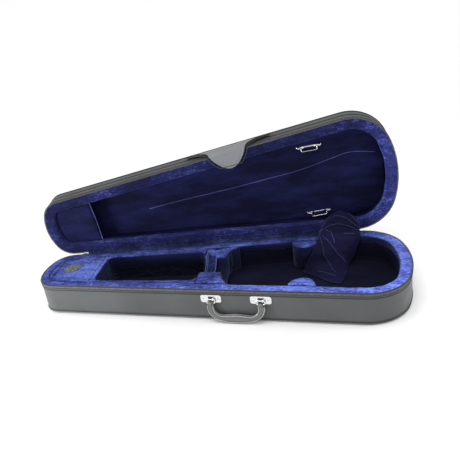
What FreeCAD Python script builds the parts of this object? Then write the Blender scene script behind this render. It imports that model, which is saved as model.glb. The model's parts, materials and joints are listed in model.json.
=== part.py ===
"""Dart-shaped violin case for a full-size violin, drawn open.

Frame: X along the case towards the wide end, Y towards the hinge side, Z up, millimetres.
The origin is at the middle of the case's length, on the flat underside.
Every lid piece is drawn closed first, then turned open about the hinge line.
"""
import FreeCAD, Part
import math
import os

V = FreeCAD.Vector

# Outline of the case, seen from above
CASE_LENGTH = 790.0
HALF_WIDTH_MID = 100.8        # half width of the straight sides at x = 0
TAPER_DEG = 5.43              # angle of each straight side to the X axis
WIDE_END_R = 221.0
WIDE_CORNER_R = 86.0
NARROW_END_R = 109.0
NARROW_CORNER_R = 43.0

# Heights
RIM_Z = 70.5                  # plane where base and lid meet
RIM_GAP = 0.3                 # each rim stops this far from that plane
LID_HEIGHT = 51.0
COVER_T = 1.4
SHELL_T = 5.0
SHELL_IN = COVER_T + SHELL_T  # inside face of the shell, measured in from the outline
FLOOR_TOP = 7.4
FLOOR_PAD_TOP = 13.0

# Beads and zipper
EDGE_BEAD_R = 1.8
EDGE_BEAD_IN = 1.7
EDGE_BEAD_UP = 2.1
RIM_BEAD_R = 1.3
RIM_BEAD_DOWN = 8.7           # below the rim plane
TAPE_T = 1.2
TAPE_W = 7.3
TEETH_T = 1.55
TEETH_W = 1.6
STITCH_GAP = 0.1

# Padding
RIM_PAD_IN = 24.0             # inner edge of the plush rim
WALL_PAD_IN = 21.0
RIM_PAD_DEPTH = 20.0
NARROW_RIM_IN = 17.0          # the plush rim is slimmer round the accessory box

# Interior of the base
BOX_LEFT_X = -364.0
BOX_RIGHT_X = -262.0
COMPARTMENT_RIGHT_X = -36.0
COMPARTMENT_HALF_LEFT = 51.0
COMPARTMENT_HALF_RIGHT = 60.0
COMPARTMENT_CORNER_R = 14.0
PAD_TOP = 69.0
CRADLE_LEFT_X = -36.0
CRADLE_RIGHT_X = 62.0
BODY_LEFT_X = 13.0
BODY_CORNER_R = 48.0
BODY_HALF_W = 84.0
SADDLE_R = 30.0
SADDLE_BOTTOM = 34.0
WAIST_X = 180.0
WAIST_PAD_R = 27.0
WAIST_PAD_Y = 90.0
STRAP_LEFT_X = -30.0
STRAP_RIGHT_X = -8.0
STRAP_T = 1.6
STRAP_SAG = 15.0               # ends to middle
STRAP_TAIL_Y = 56.0            # its hinge-side end lies on the cradle as far as this
TAB_X = -333.0
TAB_Y = 5.0
TAB_L = 37.0
TAB_W = 33.0
BLANKET_S = 209.0
BLANKET_W = 84.0

# Hinge
LID_OPEN_DEG = 86.0
HINGE_OUT = 2.1
HINGE_FROM = -322.0
HINGE_TO = 262.0

# Handle and closure flap, measured along the front side from x = 0
HANDLE_S = 51.5
PLATE_PITCH = 100.6
PLATE_W = 42.0
PLATE_H = 16.6
PLATE_T = 1.6
PIVOT_Z = 49.5
PIVOT_OUT = 4.6
HANDLE_REST_DEG = 6.0          # out from straight down
RING_R = 1.4
RING_HALF_W = 8.2
RING_DROP = 7.5
EAR_NEAR = 3.8                # each plate's two ears, from the plate's middle
EAR_FAR = 6.1
SLOT_HALF_W = 4.9
RUNNING_GAP = 0.05
FLAP_S = 53.0
FLAP_OUT = 6.9
FLAP_IN = 3.4
FLAP_AXIS_Z = 66.2
FLAP_TOP_Z = 107.0
FLAP_TIP_Z = 28.5

# Bow clips, in the lid
CLIP_X = 221.0
CLIP_UPPER_Y = -72.0
CLIP_LOWER_Y = 87.0
CLIP_HALF = 22.5
BAIL_R = 1.1
BAIL_HALF = 17.0
BAIL_DROP = 8.5
LINING_DEPTH = 39.0           # depth of the lid's lining below the rim plane
CLIP_PLATE_T = 1.4
CLIP_AXIS_UP = 4.6            # bail axis above the lining

# Zipper sliders, measured along the back side
SLIDER_LEFT_S = -331.0
SLIDER_RIGHT_S = 271.0
SLIDER_L = 11.0

BIG = 1000.0
TAPER = math.radians(TAPER_DEG)
SIDE = V(math.cos(TAPER), math.sin(TAPER), 0)
SIDE_OUT = V(-math.sin(TAPER), math.cos(TAPER), 0)
HALF_LENGTH = CASE_LENGTH / 2.0
BASE_TOP = RIM_Z - RIM_GAP


# ---------------------------------------------------------------- helpers

def box(x0, x1, y0, y1, z0, z1):
    return Part.makeBox(x1 - x0, y1 - y0, z1 - z0, V(x0, y0, z0))


def rod(start, end, radius):
    return Part.makeCylinder(radius, (end - start).Length, start, end - start)


def joined(shapes):
    whole = shapes[0]
    for shape in shapes[1:]:
        whole = whole.fuse(shape)
    return whole.removeSplitter()


def mirror_y(point):
    return V(point.x, -point.y, point.z)


def corner(inset, end_radius, corner_radius, sign):
    """Centre and two tangent points of the back corner arc at one end (sign +1 is the wide end)."""
    radius = corner_radius - inset
    end_centre = V(sign * (HALF_LENGTH - end_radius), 0, 0)
    start = V(0, HALF_WIDTH_MID, 0) - SIDE_OUT * (inset + radius)
    reach = start - end_centre
    along = reach.dot(SIDE)
    span = (end_radius - inset - radius) ** 2
    travel = -along + sign * math.sqrt(along * along - reach.dot(reach) + span)
    centre = start + SIDE * travel
    outward = (centre - end_centre).normalize()
    middle = (outward + SIDE_OUT).normalize()
    return {
        "side": centre + SIDE_OUT * radius,
        "middle": centre + middle * radius,
        "end": centre + outward * radius,
    }


def outline(inset, z=0.0):
    """Closed wire of the case outline, moved in by inset, at height z."""
    wide = corner(inset, WIDE_END_R, WIDE_CORNER_R, 1)
    narrow = corner(inset, NARROW_END_R, NARROW_CORNER_R, -1)
    wide_tip = V(HALF_LENGTH - inset, 0, 0)
    narrow_tip = V(inset - HALF_LENGTH, 0, 0)
    edges = [
        Part.LineSegment(narrow["side"], wide["side"]),
        Part.Arc(wide["side"], wide["middle"], wide["end"]),
        Part.Arc(wide["end"], wide_tip, mirror_y(wide["end"])),
        Part.Arc(mirror_y(wide["end"]), mirror_y(wide["middle"]), mirror_y(wide["side"])),
        Part.LineSegment(mirror_y(wide["side"]), mirror_y(narrow["side"])),
        Part.Arc(mirror_y(narrow["side"]), mirror_y(narrow["middle"]), mirror_y(narrow["end"])),
        Part.Arc(mirror_y(narrow["end"]), narrow_tip, narrow["end"]),
        Part.Arc(narrow["end"], narrow["middle"], narrow["side"]),
    ]
    wire = Part.Wire([edge.toShape() for edge in edges])
    wire.translate(V(0, 0, z))
    return wire


def slab(inset, z0, z1):
    return Part.Face(outline(inset, z0)).extrude(V(0, 0, z1 - z0))


def ring(outer, inner, z0, z1):
    return slab(outer, z0, z1).cut(slab(inner, z0 - 1, z1 + 1))


def bead(inset, z, radius):
    """Round cord laid along the outline."""
    path = outline(inset, z)
    start = corner(inset, WIDE_END_R, WIDE_CORNER_R, 1)["side"] + V(0, 0, z)
    section = Part.Wire([Part.Circle(start, SIDE, radius).toShape()])
    return path.makePipeShell([section], True, True)


def polygon(points):
    return Part.Face(Part.makePolygon(points + [points[0]]))


def on_front(shape):
    """From local axes (x along the front side, y inwards, z up) to the case."""
    placed = shape.copy()
    placed.rotate(V(0, 0, 0), V(0, 0, 1), -TAPER_DEG)
    placed.translate(V(0, -HALF_WIDTH_MID, 0))
    return placed


def on_back(shape):
    """From local axes (x along the back side, y outwards, z up) to the case."""
    placed = shape.copy()
    placed.rotate(V(0, 0, 0), V(0, 0, 1), TAPER_DEG)
    placed.translate(V(0, HALF_WIDTH_MID, 0))
    return placed


def opened(shape):
    """Turn a lid piece from closed to open about the hinge line."""
    turned = shape.copy()
    point = V(0, HALF_WIDTH_MID, RIM_Z) + SIDE_OUT * HINGE_OUT
    turned.rotate(point, SIDE * -1, LID_OPEN_DEG)
    return turned


def bent_rod(points, radius, bend):
    """Wire through the points in the XZ plane, with rounded bends, swept with a round section."""
    edges = []
    start = points[0]
    for before, here, after in zip(points, points[1:], points[2:]):
        into = (here - before).normalize()
        out = (after - here).normalize()
        entry = here - into * bend
        leave = here + out * bend
        centre = entry + out * bend
        middle = centre + (here - centre).normalize() * bend
        edges.append(Part.makeLine(start, entry))
        edges.append(Part.Arc(entry, middle, leave).toShape())
        start = leave
    edges.append(Part.makeLine(start, points[-1]))
    section = Part.Wire([Part.Circle(points[0], points[1] - points[0], radius).toShape()])
    return Part.Wire(edges).makePipeShell([section], True, True)


def without_hinge(shape):
    """Take away the stretch along the hinge."""
    return shape.cut(on_back(box(HINGE_FROM, HINGE_TO, -10, 10, 0, BIG)))


# ---------------------------------------------------------------- shell halves

def half_case(height, lining_z):
    """Pieces of one half, drawn as a tray with its floor at z = 0 and its rim at z = height."""
    top = height - RIM_GAP
    bead_z = height - RIM_BEAD_DOWN
    cover_low = EDGE_BEAD_UP + EDGE_BEAD_R + STITCH_GAP
    cover_high = bead_z - RIM_BEAD_R - STITCH_GAP
    shell_top = top - 2.2
    panel_in = EDGE_BEAD_IN + EDGE_BEAD_R + STITCH_GAP
    shell = joined([
        slab(panel_in, COVER_T, cover_low),
        slab(COVER_T, cover_low, lining_z),
        ring(COVER_T, SHELL_IN, lining_z, shell_top),
    ])
    teeth = ring(-TEETH_T, -STITCH_GAP / 2, top - TEETH_W, top)
    return {
        "shell": shell,
        "side_cover": ring(0, COVER_T, cover_low, cover_high),
        "flat_cover": slab(panel_in, 0, COVER_T),
        "edge_piping": bead(EDGE_BEAD_IN, EDGE_BEAD_UP, EDGE_BEAD_R),
        "rim_piping": bead(COVER_T - RIM_BEAD_R, bead_z, RIM_BEAD_R),
        "zipper_tape": ring(0, TAPE_T, top - TAPE_W + RIM_GAP, top),
        "zipper_teeth": without_hinge(teeth),
    }


def plush_rim(height, depth, inner):
    """Pad ring under the rim plane, lapped over the top of the shell."""
    top = height - RIM_GAP
    return joined([
        ring(SHELL_IN, inner, top - depth, top),
        ring(COVER_T, SHELL_IN + 1, top - 2.2, top),
    ])


# ---------------------------------------------------------------- base

def accessory_outline(inset, z0, z1):
    """Space inside the slim rim at the narrow end."""
    end = box(BOX_LEFT_X + inset, BOX_RIGHT_X - 9 - inset, -BIG, BIG, z0, z1)
    return slab(NARROW_RIM_IN + 3 + inset, z0, z1).common(end)


def accessory_hinge_tape():
    return box(BOX_RIGHT_X - 8.2, BOX_RIGHT_X - 1, -48, 48, PAD_TOP, PAD_TOP + 0.5)


def compartment_hollow():
    points = [
        V(BOX_RIGHT_X, -COMPARTMENT_HALF_LEFT, 0),
        V(COMPARTMENT_RIGHT_X, -COMPARTMENT_HALF_RIGHT, 0),
        V(COMPARTMENT_RIGHT_X, COMPARTMENT_HALF_RIGHT, 0),
        V(BOX_RIGHT_X, COMPARTMENT_HALF_LEFT, 0),
    ]
    hollow = polygon(points).extrude(V(0, 0, BIG))
    upright = [edge for edge in hollow.Edges if abs(edge.tangentAt(0).z) > 0.9]
    return hollow.makeFillet(COMPARTMENT_CORNER_R, upright)


def body_hollow():
    """Round-cornered left end of the hollow for the violin's body."""
    middle = BODY_HALF_W - BODY_CORNER_R
    centre_x = BODY_LEFT_X + BODY_CORNER_R
    shapes = [
        box(centre_x, CRADLE_RIGHT_X + 1, -BODY_HALF_W, BODY_HALF_W, 0, BIG),
        box(BODY_LEFT_X, centre_x + 1, -middle, middle, 0, BIG),
        Part.makeCylinder(BODY_CORNER_R, BIG, V(centre_x, middle, 0)),
        Part.makeCylinder(BODY_CORNER_R, BIG, V(centre_x, -middle, 0)),
    ]
    return joined(shapes)


def base_rim_pad():
    wide = plush_rim(RIM_Z, RIM_PAD_DEPTH, RIM_PAD_IN)
    slim = plush_rim(RIM_Z, RIM_PAD_DEPTH, NARROW_RIM_IN)
    split = BOX_RIGHT_X
    wide = wide.common(box(split, BIG, -BIG, BIG, 0, BIG))
    slim = slim.common(box(-BIG, split, -BIG, BIG, 0, BIG))
    recess = on_back(box(HINGE_FROM, HINGE_TO, -9, 2, BASE_TOP - 0.9, BIG))
    return joined([wide, slim]).cut(recess)


def base_wall_lining():
    whole = ring(SHELL_IN, WALL_PAD_IN, FLOOR_PAD_TOP, BASE_TOP - RIM_PAD_DEPTH)
    slim = ring(SHELL_IN, NARROW_RIM_IN, FLOOR_PAD_TOP, BASE_TOP - RIM_PAD_DEPTH)
    wide = whole.common(box(BOX_RIGHT_X, BIG, -BIG, BIG, 0, BIG))
    return joined([wide, slim.common(box(-BIG, BOX_RIGHT_X, -BIG, BIG, 0, BIG))])


def accessory_box():
    """Small open-topped box that fills the narrow end."""
    outer = slab(NARROW_RIM_IN + STITCH_GAP, FLOOR_PAD_TOP, PAD_TOP)
    outer = outer.common(box(-BIG, BOX_RIGHT_X, -BIG, BIG, 0, BIG))
    recess = accessory_outline(0, PAD_TOP - 7, BIG)
    hollow = accessory_outline(6, 20, BIG)
    return outer.cut(recess).cut(hollow)


def accessory_tab():
    """Thin oval patch on the box's lid."""
    tab = Part.makeCylinder(TAB_W / 2, 0.9, V(0, 0, PAD_TOP))
    stretch = FreeCAD.Matrix()
    stretch.scale(TAB_L / TAB_W, 1, 1)
    tab = tab.transformGeometry(stretch)
    tab.translate(V(TAB_X, TAB_Y, 0))
    return tab


def accessory_lid():
    return accessory_outline(0.8, PAD_TOP - 6.2, PAD_TOP)


def compartment_pad(side):
    """Wedge between the plush rim and one side of the scroll compartment."""
    block = slab(RIM_PAD_IN + STITCH_GAP, FLOOR_PAD_TOP, PAD_TOP)
    reach = sorted([0, side * BIG])
    block = block.common(box(BOX_RIGHT_X, CRADLE_LEFT_X, reach[0], reach[1], 0, BIG))
    return block.cut(compartment_hollow())


def neck_cradle():
    """Block across the case with a round saddle for the neck."""
    block = slab(RIM_PAD_IN + STITCH_GAP, FLOOR_PAD_TOP, PAD_TOP)
    block = block.common(box(CRADLE_LEFT_X, CRADLE_RIGHT_X, -BIG, BIG, 0, BIG))
    centre_z = SADDLE_BOTTOM + SADDLE_R
    saddle = rod(V(CRADLE_LEFT_X - 1, 0, centre_z), V(CRADLE_RIGHT_X, 0, centre_z), SADDLE_R)
    open_top = box(CRADLE_LEFT_X - 1, CRADLE_RIGHT_X, -SADDLE_R, SADDLE_R, centre_z, BIG)
    return block.cut(body_hollow()).cut(saddle).cut(open_top)


def neck_strap():
    """Ribbon that sags across the saddle and lies on top of the cradle on the hinge side."""
    half = SADDLE_R - 0.6
    high = PAD_TOP - 3
    low = high - STRAP_SAG
    x = STRAP_LEFT_X
    outer = Part.Arc(V(x, -half, high), V(x, 0, low), V(x, half, high))
    inner = Part.Arc(V(x, half, high + STRAP_T), V(x, 0, low + STRAP_T), V(x, -half, high + STRAP_T))
    edges = [
        outer.toShape(),
        Part.makeLine(outer.EndPoint, inner.StartPoint),
        inner.toShape(),
        Part.makeLine(inner.EndPoint, outer.StartPoint),
    ]
    span = Part.Face(Part.Wire(edges)).extrude(V(STRAP_RIGHT_X - STRAP_LEFT_X, 0, 0))
    riser = box(STRAP_LEFT_X, STRAP_RIGHT_X, half - STRAP_T, half, high, PAD_TOP + 1)
    tail = box(STRAP_LEFT_X, STRAP_RIGHT_X, half - STRAP_T, STRAP_TAIL_Y, PAD_TOP, PAD_TOP + 1)
    return joined([span, riser, tail])


def waist_pad(side):
    foot = V(WAIST_X, side * WAIST_PAD_Y, FLOOR_PAD_TOP)
    post = Part.makeCylinder(WAIST_PAD_R, PAD_TOP - FLOOR_PAD_TOP, foot)
    return post.common(slab(RIM_PAD_IN + STITCH_GAP, 0, BIG))


def instrument_blanket():
    """Velvet cloth: hangs from the back rim in a steep drape and lies on the floor of the hollow."""
    low = FLOOR_PAD_TOP + STITCH_GAP
    upper = [(-24.6, 69.5), (-42.8, 63.4), (-56.4, 48.8), (-62.5, 30.3), (-63.4, low + 3), (-122, low + 3)]
    under = [(-122, low), (-60.4, low), (-59.5, 29.9), (-53.7, 47.4), (-41.2, 60.8), (-24.6, 66.4)]
    profile = polygon([V(BLANKET_S, y, z) for y, z in upper + under])
    return on_back(profile.extrude(V(BLANKET_W, 0, 0)))


def base_floor_pad():
    return slab(SHELL_IN + STITCH_GAP, FLOOR_TOP, FLOOR_PAD_TOP - STITCH_GAP)


def hinge_strip():
    return on_back(box(HINGE_FROM, HINGE_TO, STITCH_GAP, 1.3, RIM_Z - TAPE_W, BASE_TOP))


def hinge_lining_strip():
    return on_back(box(HINGE_FROM, HINGE_TO, -8.5, -1.5, BASE_TOP - 0.8, BASE_TOP))


# ---------------------------------------------------------------- handle

def plate_centres():
    return [HANDLE_S - PLATE_PITCH / 2, HANDLE_S + PLATE_PITCH / 2]


def handle_plate(centre):
    """Plate with a slot and two ears that carry the ring's upper bar."""
    low = PIVOT_Z - PLATE_H / 2
    plate = box(centre - PLATE_W / 2, centre + PLATE_W / 2, -PLATE_T, 0, low, low + PLATE_H)
    upright = [edge for edge in plate.Edges if abs(edge.tangentAt(0).y) > 0.9]
    plate = plate.makeFillet(4.5, upright)
    slot = box(centre - SLOT_HALF_W, centre + SLOT_HALF_W, -5, 1, PIVOT_Z - 5, PIVOT_Z + 5)
    plate = plate.cut(slot)
    ears = []
    for side in (-1, 1):
        near = centre + side * EAR_NEAR
        far = centre + side * EAR_FAR
        ear = rod(V(min(near, far), -PIVOT_OUT, PIVOT_Z), V(max(near, far), -PIVOT_OUT, PIVOT_Z), 3.0)
        foot = box(min(near, far), max(near, far), -PIVOT_OUT, 0, PIVOT_Z - 3, PIVOT_Z + 3)
        ears.append(ear.fuse(foot))
    body = joined([plate] + ears)
    bore = rod(V(centre - 9, -PIVOT_OUT, PIVOT_Z), V(centre + 9, -PIVOT_OUT, PIVOT_Z), RING_R + RUNNING_GAP)
    return on_front(body.cut(bore))


def plate_rivets():
    """Two domed rivets for each plate."""
    rivets = []
    for centre in plate_centres():
        for side in (-1, 1):
            dome = Part.makeSphere(2.2, V(centre + side * 15, -PLATE_T + 1.2, PIVOT_Z))
            rivets.append(on_front(dome.common(box(-BIG, BIG, -BIG, -PLATE_T, 0, BIG))))
    return Part.makeCompound(rivets)


def swung_handle(shape):
    """Handle pieces are drawn hanging straight down, then swung out a little to their rest pose."""
    turned = shape.copy()
    turned.rotate(V(0, -PIVOT_OUT, PIVOT_Z), V(-1, 0, 0), HANDLE_REST_DEG)
    return on_front(turned)


def handle_ring(centre):
    """Closed rectangular wire loop, its upper bar in the plate's ears."""
    top = PIVOT_Z
    low = PIVOT_Z - RING_DROP
    y = -PIVOT_OUT
    points = [
        V(centre, y, top),
        V(centre + RING_HALF_W, y, top),
        V(centre + RING_HALF_W, y, low),
        V(centre - RING_HALF_W, y, low),
        V(centre - RING_HALF_W, y, top),
        V(centre, y, top),
    ]
    return swung_handle(bent_rod(points, RING_R, 2.0))


def handle_grip():
    """U-shaped padded grip whose two ends are looped round the rings."""
    left, right = plate_centres()
    mid = HANDLE_S
    y = -PIVOT_OUT
    half = 4.4

    def at(s, drop):
        return V(s, y - half, PIVOT_Z - drop)

    outer = 58.3
    inner = 42.3
    edges = [
        Part.LineSegment(at(mid - outer, 12), at(mid - outer, 18)),
        Part.Arc(at(mid - outer, 18), at(mid - 51, 34.5), at(mid - 33, 44.6)),
        Part.Arc(at(mid - 33, 44.6), at(mid, 48.6), at(mid + 33, 44.6)),
        Part.Arc(at(mid + 33, 44.6), at(mid + 51, 34.5), at(mid + outer, 18)),
        Part.LineSegment(at(mid + outer, 18), at(mid + outer, 12)),
        Part.LineSegment(at(mid + outer, 12), at(mid + inner, 12)),
        Part.LineSegment(at(mid + inner, 12), at(mid + inner, 17)),
        Part.Arc(at(mid + inner, 17), at(mid + 38.8, 29.5), at(mid + 28, 35.3)),
        Part.Arc(at(mid + 28, 35.3), at(mid, 31.2), at(mid - 28, 35.3)),
        Part.Arc(at(mid - 28, 35.3), at(mid - 38.8, 29.5), at(mid - inner, 17)),
        Part.LineSegment(at(mid - inner, 17), at(mid - inner, 12)),
        Part.LineSegment(at(mid - inner, 12), at(mid - outer, 12)),
    ]
    wire = Part.Wire([edge.toShape() for edge in edges])
    body = Part.Face(wire).extrude(V(0, 2 * half, 0))
    ends = []
    for centre in (left, right):
        low = PIVOT_Z - 13
        high = PIVOT_Z - RING_DROP + 3.2
        ends.append(box(centre - EAR_FAR, centre + EAR_FAR, y - 3.0, y + 3.0, low, high))
    body = joined([body] + ends)
    bar_z = PIVOT_Z - RING_DROP
    bar = rod(V(mid - BIG, y, bar_z), V(mid + BIG, y, bar_z), RING_R)
    return swung_handle(body.cut(bar))


# ---------------------------------------------------------------- closure flap

def flap_turn(shape, degrees):
    """Turn a flap piece inwards about the bend line at the lid's edge."""
    turned = shape.copy()
    turned.rotate(V(0, -(FLAP_OUT + FLAP_IN) / 2, FLAP_AXIS_Z), V(1, 0, 0), degrees)
    return turned


def flap_hang_angle():
    """Angle that lets the tongue hang straight down from the open lid."""
    open_angle = math.radians(LID_OPEN_DEG)
    inward = V(math.sin(TAPER), math.cos(TAPER), 0)
    down = SIDE_OUT * math.sin(open_angle) - V(0, 0, 1) * math.cos(open_angle)
    return math.degrees(math.atan2(down.dot(inward), -down.z))


def flap_root():
    """Upper part, sewn to the lid's front wall and stepped out past the zipper."""
    wing = 94.0
    waist = 42.0
    low = FLAP_AXIS_Z + 2.0
    profile = polygon([
        V(FLAP_S - wing, -0.1, FLAP_TOP_Z),
        V(FLAP_S - wing, -3.6, FLAP_TOP_Z - 1),
        V(FLAP_S - wing, -FLAP_OUT, 92),
        V(FLAP_S - wing, -FLAP_OUT, low),
        V(FLAP_S - wing, -FLAP_IN, low),
        V(FLAP_S - wing, -FLAP_IN, 90),
        V(FLAP_S - wing, -0.1, 97),
    ])
    band = profile.extrude(V(2 * wing, 0, 0))

    def at(s, z):
        return V(FLAP_S + s, -20, z)

    edges = [
        Part.LineSegment(at(-wing, FLAP_TOP_Z), at(wing, FLAP_TOP_Z)),
        Part.LineSegment(at(wing, FLAP_TOP_Z), at(wing, 100)),
        Part.Arc(at(wing, 100), at(62, 90), at(waist, 76)),
        Part.LineSegment(at(waist, 76), at(waist - 2.5, low)),
        Part.LineSegment(at(waist - 2.5, low), at(2.5 - waist, low)),
        Part.LineSegment(at(2.5 - waist, low), at(-waist, 76)),
        Part.Arc(at(-waist, 76), at(-62, 90), at(-wing, 100)),
        Part.LineSegment(at(-wing, 100), at(-wing, FLAP_TOP_Z)),
    ]
    front_view = Part.Face(Part.Wire([edge.toShape() for edge in edges])).extrude(V(0, 40, 0))
    return opened(on_front(band.common(front_view)))


def closure_flap():
    """Tongue that bends at the lid's edge."""
    half = 38.5

    def at(s, z):
        return V(FLAP_S + s, -FLAP_OUT, z)

    edges = [
        Part.LineSegment(at(-half, FLAP_AXIS_Z), at(half, FLAP_AXIS_Z)),
        Part.Arc(at(half, FLAP_AXIS_Z), at(28.5, 45.2), at(0, FLAP_TIP_Z)),
        Part.Arc(at(0, FLAP_TIP_Z), at(-28.5, 45.2), at(-half, FLAP_AXIS_Z)),
    ]
    wire = Part.Wire([edge.toShape() for edge in edges])
    tongue = Part.Face(wire).extrude(V(0, FLAP_OUT - FLAP_IN, 0))
    axis_y = -(FLAP_OUT + FLAP_IN) / 2
    roll = rod(V(FLAP_S - half, axis_y, FLAP_AXIS_Z), V(FLAP_S + half, axis_y, FLAP_AXIS_Z), 1.7)
    return opened(on_front(flap_turn(joined([tongue, roll]), flap_hang_angle())))


# ---------------------------------------------------------------- lid

def lid_from_tray(shape):
    """Turn a tray upside down over the base, then open it."""
    flipped = shape.mirror(V(0, 0, 0), V(0, 0, 1))
    flipped.translate(V(0, 0, RIM_Z + LID_HEIGHT))
    return opened(flipped)


def in_lid(z):
    """Height above the tray floor of a depth below the rim plane."""
    return LID_HEIGHT - z


def lid_wall_lining():
    low = in_lid(44)
    high = in_lid(RIM_GAP + RIM_PAD_DEPTH)
    return ring(SHELL_IN, 14, low, high)


def lid_lining_panel():
    return slab(14 + STITCH_GAP, in_lid(44), in_lid(LINING_DEPTH))


def bow_tip_pocket():
    panel = slab(RIM_PAD_IN + STITCH_GAP, in_lid(10), in_lid(8))
    return panel.common(box(-BIG, -278, -BIG, BIG, 0, BIG))


def clip_frame(y):
    """Middle of a bow clip on the lining, in tray axes."""
    return V(CLIP_X, y, in_lid(LINING_DEPTH))


def clip_plate(y):
    """Strip with an eyelet post at each end."""
    at = clip_frame(y)
    reach = CLIP_HALF + 5
    strip = box(at.x - reach, at.x + reach, at.y - 5, at.y + 5, at.z, at.z + CLIP_PLATE_T)
    posts = []
    for side in (-1, 1):
        foot = V(at.x + side * CLIP_HALF, at.y, at.z)
        posts.append(Part.makeCylinder(3.0, CLIP_AXIS_UP + 2.4, foot))
    body = joined([strip] + posts)
    axis = at + V(0, 0, CLIP_AXIS_UP)
    bore = rod(axis - V(reach, 0, 0), axis + V(reach, 0, 0), BAIL_R + RUNNING_GAP)
    return body.cut(bore)


def clip_bail(y):
    """Wire bail, hanging towards the hinge side when the lid stands open."""
    axis = clip_frame(y) + V(0, 0, CLIP_AXIS_UP)
    points = []
    for s, drop in ((-25.0, 0), (-BAIL_HALF, 0), (-BAIL_HALF, 1), (BAIL_HALF, 1), (BAIL_HALF, 0), (25.0, 0)):
        points.append(V(s, 0, -drop * BAIL_DROP))
    bail = bent_rod(points, BAIL_R, 2.6)
    bail.rotate(V(0, 0, 0), V(1, 0, 0), 90 + 90 - LID_OPEN_DEG)
    bail.translate(axis)
    return bail


def clip_screws():
    screws = []
    for y in (CLIP_UPPER_Y, CLIP_LOWER_Y):
        at = clip_frame(y)
        for side in (-1, 1):
            head = V(at.x + side * (BAIL_HALF - 4), at.y, at.z + CLIP_PLATE_T)
            screws.append(Part.makeCylinder(2.2, 0.9, head))
    return Part.makeCompound(screws)


# ---------------------------------------------------------------- zipper sliders

def zipper_slider(s):
    """Body outside the teeth with a lip under them and a bridge for the pull tab."""
    top = BASE_TOP - 0.2
    lip_top = BASE_TOP - TEETH_W - 0.2
    body = box(s - SLIDER_L / 2, s + SLIDER_L / 2, TEETH_T + 0.2, TEETH_T + 1.7, top - 6.5, top)
    lip = box(s - SLIDER_L / 2, s + SLIDER_L / 2, 0.2, TEETH_T + 0.3, top - 6.5, lip_top)
    bridge = box(s - 1.8, s + 1.8, TEETH_T + 1.6, TEETH_T + 4.6, top - 5.5, top - 0.5)
    shape = joined([body, lip, bridge])
    bore = rod(V(s - 5, TEETH_T + 3.2, top - 3), V(s + 5, TEETH_T + 3.2, top - 3), 0.85)
    return on_back(shape.cut(bore))


def pull_tab(s):
    """Flat tab that hangs from the slider's bridge on a fork and pin."""
    y = TEETH_T + 3.2
    z = BASE_TOP - 3.2
    pin = rod(V(s - 3.4, y, z), V(s + 3.4, y, z), 0.8)
    cheeks = []
    for side in (-1, 1):
        near = sorted([s + side * 2.1, s + side * 3.6])
        cheeks.append(box(near[0], near[1], y - 0.8, y + 0.8, z - 6.2, z + 0.8))
    leaf = box(s - 3.6, s + 3.6, y - 0.9, y + 0.9, z - 24, z - 4.2)
    return on_back(joined([pin, leaf] + cheeks))


def zipper_stops():
    stops = []
    for s in (HINGE_FROM - 1.3, HINGE_TO + 1.3):
        stops.append(on_back(box(s - 1.2, s + 1.2, STITCH_GAP, 1.7, BASE_TOP - 3, BASE_TOP - 0.1)))
    return Part.makeCompound(stops)


# ---------------------------------------------------------------- assembly

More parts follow.
